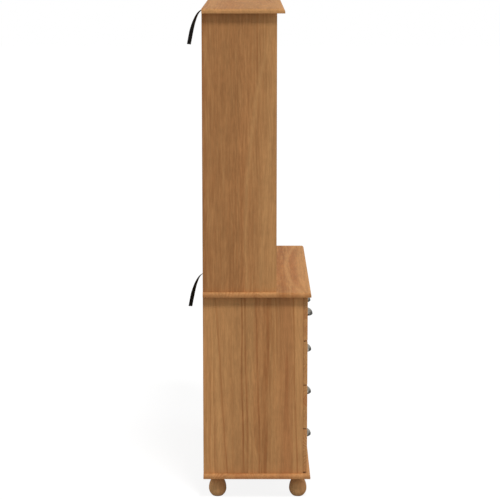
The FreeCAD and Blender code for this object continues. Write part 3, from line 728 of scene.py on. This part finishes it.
def ribbon_mesh(name, line):
    """A closed strip of webbing along a line, with its map in metres."""
    runs = [0.0]
    for here, there in zip(line, line[1:]):
        runs.append(runs[-1] + (there - here).length)
    section = ribbon_section()
    build = bmesh.new()
    weave = build.loops.layers.uv.new(WEBBING_MAP)
    rings = []
    for index, point in enumerate(line):
        heading = (line[min(index + 1, len(line) - 1)] - line[max(index - 1, 0)]).normalized()
        wide, thin = ribbon_sides(heading, runs[index] / runs[-1])
        rings.append([build.verts.new(point + wide * aside + thin * off) for aside, off in section])
    for row in range(len(rings) - 1):
        for step in range(len(section)):
            after = (step + 1) % len(section)
            corners = ((row, step), (row, after), (row + 1, after), (row + 1, step))
            face = build.faces.new([rings[at][corner] for at, corner in corners])
            face.smooth = True
            for loop, (at, corner) in zip(face.loops, corners):
                loop[weave].uv = (runs[at], section[corner][0])
    for end in (rings[0], rings[-1]):
        build.faces.new(end)
    bmesh.ops.recalc_face_normals(build, faces=build.faces)
    mesh = bpy.data.meshes.new(name)
    build.to_mesh(mesh)
    build.free()
    return mesh


def add_strap(name, board, cloth):
    """A wall strap that hangs from under a board's back edge and turns its face sideways as it falls."""
    low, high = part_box(board)
    back = high.y
    seat = low.z - STRAP_SEAT_GAP - STRAP_THICKNESS / 2
    line = spline_points([(0.0, back + out, seat + up) for out, up in STRAP_ROUTE])
    piece = new_piece(f"{name}_webbing", ribbon_mesh(name, line), cloth, "case")
    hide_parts(name)


# Screws of the pulls: tapers and reaches are shares of the head's own sizes
SCREW_HEAD_SIDES, SCREW_HEAD_TAPER = 20, 0.7
SCREW_SHANK_SIDES, SCREW_SHANK_RADIUS = 10, 0.0018
RECESS_WIDTH, RECESS_REACH, RECESS_LIFT = 0.0011, 1.2, 0.95

# Panel pins in the base's back and in the hutch's back boards
BACK_BOARDS = 9
PANEL_PINS = 10
PINS_ACROSS_BOARD = 2
PIN_INSET = 0.012
PIN_HEAD_RADIUS, PIN_HEAD_HEIGHT = 0.0017, 0.0005
PIN_HEAD_SIDES, PIN_HEAD_TAPER = 12, 0.75

# Heads are made facing up and turned to face the back
TURN_TO_BACK = (-math.pi / 2, 0.0, 0.0)

# Corners of a node's triangles that are this close are one corner
SAME_PLACE = 1e-6


def fastener_group(name, inputs):
    """A new geometry group that takes points and gives painted fasteners."""
    return Group(name, SHAPES, {"Geometry": GEOMETRY, **inputs, "Material": MATERIAL}, {"Geometry": GEOMETRY})


def fastener_head(group, sides, taper):
    """A low round head that narrows upwards."""
    radius = group.given["Head Radius"]
    cone = {"Vertices": sides, "Radius Bottom": radius, "Radius Top": radius * taper,
            "Depth": group.given["Head Height"]}
    return group.value("GeometryNodeMeshCone", cone, "Mesh")


def lifted(group, shape, height):
    """A shape moved up, or down where the height is below nought."""
    return group.value("GeometryNodeTransform", {"Geometry": shape, "Translation": group.vector(z=height)})


def set_on_points(group, points, shape):
    """Put a shape on every point, facing the back, as one painted mesh."""
    turned = group.value("GeometryNodeTransform", {"Geometry": shape, "Rotation": TURN_TO_BACK})
    placed = group.value("GeometryNodeInstanceOnPoints", {"Points": points, "Instance": turned})
    solid = group.value("GeometryNodeRealizeInstances", {"Geometry": placed})
    paint = {"Geometry": solid, "Material": group.given["Material"]}
    group.feed(group.sink, {"Geometry": group.value("GeometryNodeSetMaterial", paint)})


def build_screw_set():
    """A pan-head screw with a cross recess at every point."""
    group = fastener_group("screw_set", floats("Head Radius", "Head Height", "Shank Radius", "Shank Length",
                                               "Recess Width"))
    given = group.given
    head = fastener_head(group, SCREW_HEAD_SIDES, SCREW_HEAD_TAPER)
    recess = group.node("GeometryNodeMeshBoolean", {"Mesh 1": head, "Self Intersection": True},
                        operation="DIFFERENCE", solver="EXACT")
    reach = given["Head Radius"] * RECESS_REACH
    for size in ((reach, given["Recess Width"]), (given["Recess Width"], reach)):
        bar = group.value("GeometryNodeMeshCube", {"Size": group.vector(*size, given["Head Height"])})
        group.feed(recess, {"Mesh 2": lifted(group, bar, given["Head Height"] * RECESS_LIFT)})
    rod = {"Vertices": SCREW_SHANK_SIDES, "Radius": given["Shank Radius"], "Depth": given["Shank Length"]}
    shank = group.value("GeometryNodeMeshCylinder", rod, "Mesh")
    shank = lifted(group, shank, given["Shank Length"] / -2)
    screw = group.node("GeometryNodeJoinGeometry")
    for shape in (Value(group, recess.outputs["Mesh"]), shank):
        group.feed(screw, {"Geometry": shape})
    set_on_points(group, given["Geometry"], Value(group, screw.outputs["Geometry"]))
    return group.tree


def build_pin_row():
    """A row of panel pin heads, which takes no points but makes its own."""
    group = fastener_group("pin_row", {"Start": VECTOR, "Step": VECTOR, "Count": INTEGER,
                                       **floats("Head Radius", "Head Height")})
    given = group.given
    row = {"Count": given["Count"], "Start Location": given["Start"], "Offset": given["Step"]}
    line = group.value("GeometryNodeMeshLine", row, mode="OFFSET")
    set_on_points(group, line, fastener_head(group, PIN_HEAD_SIDES, PIN_HEAD_TAPER))
    return group.tree


def grown(points, tree, inputs):
    """The plain mesh that a geometry group makes from some points."""
    seed_mesh = bpy.data.meshes.new("points")
    seed_mesh.from_pydata(points, [], [])
    carrier = bpy.data.objects.new("points", seed_mesh)
    scene.collection.objects.link(carrier)
    modifier = carrier.modifiers.new("grow", "NODES")
    modifier.node_group = tree
    sockets = {item.name: item.identifier for item in tree.interface.items_tree if item.in_out == "INPUT"}
    for name, given in inputs.items():
        modifier[sockets[name]] = given
    mesh = evaluated_mesh(carrier)
    bpy.data.objects.remove(carrier)
    bpy.data.meshes.remove(seed_mesh)
    return mesh


def joined_mesh(name, meshes):
    """One mesh from several."""
    build = bmesh.new()
    for mesh in meshes:
        build.from_mesh(mesh)
        bpy.data.meshes.remove(mesh)
    whole = bpy.data.meshes.new(name)
    build.to_mesh(whole)
    build.free()
    return whole


def solid_boxes(node):
    """The boxes of the separate solids in one node, as pairs of corners from left to right."""
    build = bmesh.new()
    build.from_mesh(nodes[node].data)
    bmesh.ops.remove_doubles(build, verts=build.verts, dist=SAME_PLACE)
    waiting = set(build.verts)
    boxes = []
    while waiting:
        reached = [waiting.pop()]
        for vertex in reached:
            for edge in vertex.link_edges:
                other = edge.other_vert(vertex)
                if other in waiting:
                    waiting.remove(other)
                    reached.append(other)
        spots = [nodes[node].matrix_world @ vertex.co for vertex in reached]
        boxes.append(tuple(Vector([pick(spot[axis] for spot in spots) for axis in (X, Y, Z)])
                           for pick in (min, max)))
    build.free()
    return sorted(boxes, key=lambda box: tuple(box[0]))


def add_pull_screws(zinc):
    """The screws that hold each drawer's pulls, in place of the plain ones."""
    tree = build_screw_set()
    for body in DRAWERS:
        node = f"{body}_pull_screws"
        boxes = solid_boxes(node)
        low, high = boxes[0]
        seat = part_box(f"{body}_front")[1].y
        points = [((left.x + right.x) / 2, seat, (left.z + right.z) / 2) for left, right in boxes]
        mesh = grown(points, tree, {
            "Head Radius": (high.x - low.x) / 2, "Head Height": high.y - seat,
            "Shank Radius": SCREW_SHANK_RADIUS, "Shank Length": seat - low.y,
            "Recess Width": RECESS_WIDTH, "Material": zinc})
        piece = new_piece(f"{body}_cross_screws", mesh, zinc, body)
        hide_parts(node)


def add_panel_pins(zinc):
    """Panel pins along the edges of the base's back and at the ends of the hutch's back boards."""
    tree = build_pin_row()
    rows = []
    low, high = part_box("base_back_panel")
    shelf_low, shelf_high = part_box("divider_board")
    step = (high.x - low.x - 2 * PIN_INSET) / (PANEL_PINS - 1)
    for level in (low.z + PIN_INSET, (shelf_low.z + shelf_high.z) / 2, high.z - PIN_INSET):
        rows.append(((low.x + PIN_INSET, high.y, level), step, PANEL_PINS))
    low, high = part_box("hutch_back_boards")
    count = PINS_ACROSS_BOARD * BACK_BOARDS
    step = (high.x - low.x) / count
    for level in (low.z + PIN_INSET, high.z - PIN_INSET):
        rows.append(((low.x + step / 2, high.y, level), step, count))
    meshes = []
    for start, pitch, pins in rows:
        meshes.append(grown([], tree, {
            "Start": start, "Step": (pitch, 0.0, 0.0), "Count": pins, "Head Radius": PIN_HEAD_RADIUS,
            "Head Height": PIN_HEAD_HEIGHT, "Material": zinc}))
    new_piece("back_panel_pins", joined_mesh("back_panel_pins", meshes), zinc, "case")


def dress(node, material):
    """Give a node of the model its finish."""
    nodes[node].material_slots[0].material = material


def middle(node):
    """The middle of a node's box."""
    low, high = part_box(node)
    return (low + high) / 2


def dress_wood():
    """Every wooden piece with its grain the way it is sawn and glued."""
    def of_drawers(piece):
        return [f"{body}_{piece}" for body in DRAWERS]

    plan = {
        "waxed_pine": {
            UPRIGHT_END: ["hutch_left_side", "hutch_right_side", "base_left_side", "base_right_side"],
            LYING: ["worktop", "hutch_top", "base_board", "lower_shelf", "middle_shelf", "upper_shelf"],
            FACING: ["frieze", *of_drawers("front")],
        },
        "turned_pine": {UPRIGHT_BACK: [node for node in nodes if node.endswith("_foot")]},
        "bare_pine": {
            UPRIGHT_END: ["partition"],
            LYING: ["divider_board"],
            RUNNING: ["wide_drawer_runners", "top_drawer_runners", *of_drawers("sides")],
            FACING: of_drawers("back"),
        },
        "plywood": {UPRIGHT_BACK: ["base_back_panel"], LYING: of_drawers("bottom")},
        "beech": {UPRIGHT_BACK: ["dowels"]},
    }
    seed = 0
    for finish, grains in plan.items():
        for grain, members in grains.items():
            for node in members:
                seed += 1
                own_figure = BOARD_FIGURE.get(node, {"seed": seed * SEED_STEP})
                dress(node, pine(f"{finish}_{node}", finish, grain, middle(node), own_figure))

    low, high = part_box("hutch_back_boards")
    corner = Vector((low.x, (low.y + high.y) / 2, low.z))
    own_figure = {"stave": (high.x - low.x) / BACK_BOARDS, "seed": BACK_BOARDS_SEED}
    dress("hutch_back_boards", pine("waxed_pine_back_boards", "waxed_pine", UPRIGHT_BACK, corner, own_figure))


def dress_metal(pewter, zinc):
    """Pewter on the pulls, and zinc on the screws, bolts and pins."""
    for node in nodes:
        if node.endswith("_pulls"):
            dress(node, pewter)
        elif node.endswith(("_screws", "_bolts", "_pins")):
            dress(node, zinc)


def aim(thing, place, target):
    """Put a lamp or camera somewhere, looking at a target."""
    thing.location = place
    thing.rotation_mode = "QUATERNION"
    thing.rotation_quaternion = (target - place).to_track_quat("-Z", "Y")


def add_camera():
    """The camera at the photograph's angle, off the left end and a little above the hutch."""
    data = bpy.data.cameras.new("camera")
    data.lens = CAMERA_LENS
    camera = bpy.data.objects.new("camera", data)
    scene.collection.objects.link(camera)
    level = math.cos(CAMERA_TILT)
    ahead = Vector((level * math.cos(CAMERA_PAN), level * math.sin(CAMERA_PAN), -math.sin(CAMERA_TILT)))
    aim(camera, CAMERA_PLACE, CAMERA_PLACE + ahead)
    scene.camera = camera


def seen_by_camera(wires):
    """Whether the camera looks straight at a thing."""
    return wires.value("ShaderNodeLightPath", output="Is Camera Ray")


def add_sky():
    """A pale sky that the camera sees as white."""
    sky = bpy.data.worlds.new("sky")
    sky.use_nodes = True
    wires = Wiring(sky.node_tree)
    strength = seen_by_camera(wires).ramp(WHOLE, (SKY_STRENGTH, SKY_SEEN))
    wires.feed(sky.node_tree.nodes["Background"], {"Color": grey(1.0), "Strength": strength})
    scene.world = sky
    scene.view_settings.view_transform = "Standard"


def add_lamps():
    """The key from above the left end, and the lamps for the front and the back."""
    sun = bpy.data.lights.new("key", "SUN")
    sun.energy = SUN_STRENGTH
    sun.angle = SUN_BREADTH
    key = bpy.data.objects.new("key", sun)
    aim(key, SUN_FROM * SUN_DISTANCE, Vector())
    scene.collection.objects.link(key)
    for name, look in LAMPS.items():
        panel = bpy.data.lights.new(name, "AREA")
        panel.energy = look["power"]
        panel.size = LAMP_SIZE
        lamp = bpy.data.objects.new(name, panel)
        aim(lamp, look["place"], LAMP_AIM)
        scene.collection.objects.link(lamp)


def add_floor():
    """A wide floor, grey for the light and white for the camera."""
    half = FLOOR_SIZE / 2
    corners = [(-half, -half, 0), (half, -half, 0), (half, half, 0), (-half, half, 0)]
    mesh = bpy.data.meshes.new("floor")
    mesh.from_pydata(corners, [], [range(len(corners))])
    floor = bpy.data.objects.new("floor", mesh)
    scene.collection.objects.link(floor)
    material, wires, shader = surface("floor")
    wires.feed(shader, {
        "Base Color": grey(FLOOR_SEEN),
        "Roughness": 1.0,
        "Specular IOR Level": 0.0,
        "Emission Color": grey(1.0),
        "Emission Strength": FLOOR_GLOW,
    })
    bounce = wires.value("ShaderNodeBsdfDiffuse", {"Color": grey(FLOOR_BOUNCE)})
    both = {0: seen_by_camera(wires), 1: bounce, 2: Value(wires, shader.outputs[0])}
    output = material.node_tree.nodes["Material Output"]
    wires.feed(output, {"Surface": wires.value("ShaderNodeMixShader", both)})
    mesh.materials.append(material)


add_camera()
cloth = webbing()
add_strap("upper_wall_strap", "hutch_top", cloth)
add_strap("lower_wall_strap", "worktop", cloth)
dress_wood()
pewter = metal("antique_pewter")
zinc = metal("zinc_steel")
dress_metal(pewter, zinc)
add_pull_screws(zinc)
add_panel_pins(zinc)
add_sky()
add_lamps()
add_floor()
